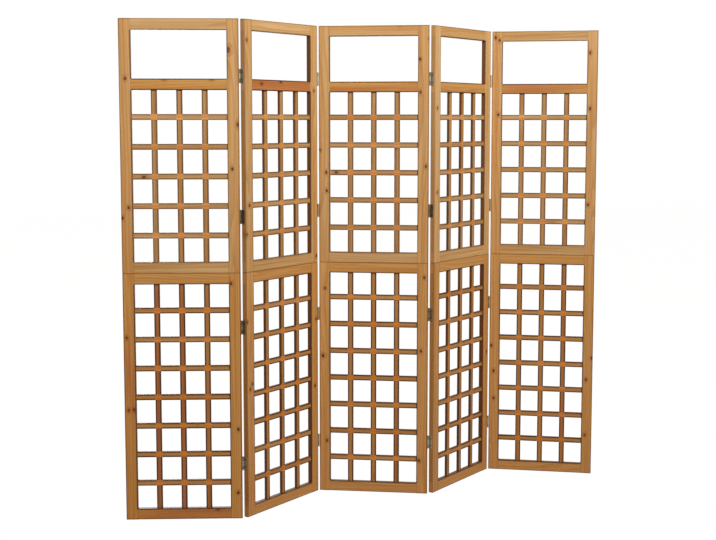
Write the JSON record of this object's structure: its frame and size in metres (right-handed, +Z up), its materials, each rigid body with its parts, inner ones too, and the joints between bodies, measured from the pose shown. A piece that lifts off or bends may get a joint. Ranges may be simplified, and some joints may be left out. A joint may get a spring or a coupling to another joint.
{
  "type": "folding room divider",
  "caption": "Freestanding zig-zag room divider of hinged fir panels, each a framed trellis of square bars under an open window.",
  "frame": {"origin": "on the floor under the middle of the standing screen", "axes": "+X along the screen from its left end to its right, +Y towards the back, +Z up"},
  "size_m": [1.9018, 0.3394, 1.8],
  "materials": {
    "fir_frame": "clear-oiled fir, honey to reddish brown, planed smooth",
    "fir_bars": "clear-oiled fir, a little darker, square bars",
    "hinge_steel": "plain zinc-plated steel, satin"
  },
  "bodies": {
    "panel_1": {"panel_1_lower_frame": "fir_frame", "panel_1_lower_trellis": "fir_bars", "panel_1_upper_frame": "fir_frame", "panel_1_upper_trellis": "fir_bars", "panel_1_transom": "fir_frame", "hinge_1_2_bottom_left_leaf": "hinge_steel", "hinge_1_2_lower_left_leaf": "hinge_steel", "hinge_1_2_upper_left_leaf": "hinge_steel", "hinge_1_2_top_left_leaf": "hinge_steel"},
    "panel_2": {"panel_2_lower_frame": "fir_frame", "panel_2_lower_trellis": "fir_bars", "panel_2_upper_frame": "fir_frame", "panel_2_upper_trellis": "fir_bars", "panel_2_transom": "fir_frame", "hinge_1_2_bottom_right_leaf": "hinge_steel", "hinge_1_2_lower_right_leaf": "hinge_steel", "hinge_1_2_upper_right_leaf": "hinge_steel", "hinge_1_2_top_right_leaf": "hinge_steel", "hinge_2_3_bottom_left_leaf": "hinge_steel", "hinge_2_3_lower_left_leaf": "hinge_steel", "hinge_2_3_upper_left_leaf": "hinge_steel", "hinge_2_3_top_left_leaf": "hinge_steel"},
    "panel_3": {"panel_3_lower_frame": "fir_frame", "panel_3_lower_trellis": "fir_bars", "panel_3_upper_frame": "fir_frame", "panel_3_upper_trellis": "fir_bars", "panel_3_transom": "fir_frame", "hinge_2_3_bottom_right_leaf": "hinge_steel", "hinge_2_3_lower_right_leaf": "hinge_steel", "hinge_2_3_upper_right_leaf": "hinge_steel", "hinge_2_3_top_right_leaf": "hinge_steel", "hinge_3_4_bottom_left_leaf": "hinge_steel", "hinge_3_4_lower_left_leaf": "hinge_steel", "hinge_3_4_upper_left_leaf": "hinge_steel", "hinge_3_4_top_left_leaf": "hinge_steel"},
    "panel_4": {"panel_4_lower_frame": "fir_frame", "panel_4_lower_trellis": "fir_bars", "panel_4_upper_frame": "fir_frame", "panel_4_upper_trellis": "fir_bars", "panel_4_transom": "fir_frame", "hinge_3_4_bottom_right_leaf": "hinge_steel", "hinge_3_4_lower_right_leaf": "hinge_steel", "hinge_3_4_upper_right_leaf": "hinge_steel", "hinge_3_4_top_right_leaf": "hinge_steel", "hinge_4_5_bottom_left_leaf": "hinge_steel", "hinge_4_5_lower_left_leaf": "hinge_steel", "hinge_4_5_upper_left_leaf": "hinge_steel", "hinge_4_5_top_left_leaf": "hinge_steel"},
    "panel_5": {"panel_5_lower_frame": "fir_frame", "panel_5_lower_trellis": "fir_bars", "panel_5_upper_frame": "fir_frame", "panel_5_upper_trellis": "fir_bars", "panel_5_transom": "fir_frame", "hinge_4_5_bottom_right_leaf": "hinge_steel", "hinge_4_5_lower_right_leaf": "hinge_steel", "hinge_4_5_upper_right_leaf": "hinge_steel", "hinge_4_5_top_right_leaf": "hinge_steel"}
  },
  "joints": [
    {"name": "fold_2_3", "type": "hinge", "parent": "panel_3", "child": "panel_2", "pos_m": [-0.18262, 0.07991, 0.9], "axis": [0, 0, 1], "range_deg": [-61, 119]},
    {"name": "fold_1_2", "type": "hinge", "parent": "panel_2", "child": "panel_1", "pos_m": [-0.53951, -0.15022, 0.9], "axis": [0, 0, -1], "range_deg": [-52, 128]},
    {"name": "fold_3_4", "type": "hinge", "parent": "panel_3", "child": "panel_4", "pos_m": [0.21163, -0.07789, 0.9], "axis": [0, 0, 1], "range_deg": [-61, 119]},
    {"name": "fold_4_5", "type": "hinge", "parent": "panel_4", "child": "panel_5", "pos_m": [0.56853, 0.15224, 0.9], "axis": [0, 0, -1], "range_deg": [-64, 116]}
  ],
  "couplings": [
    {"joint": "fold_3_4", "follows": "fold_2_3", "ratio": 1}
  ]
}
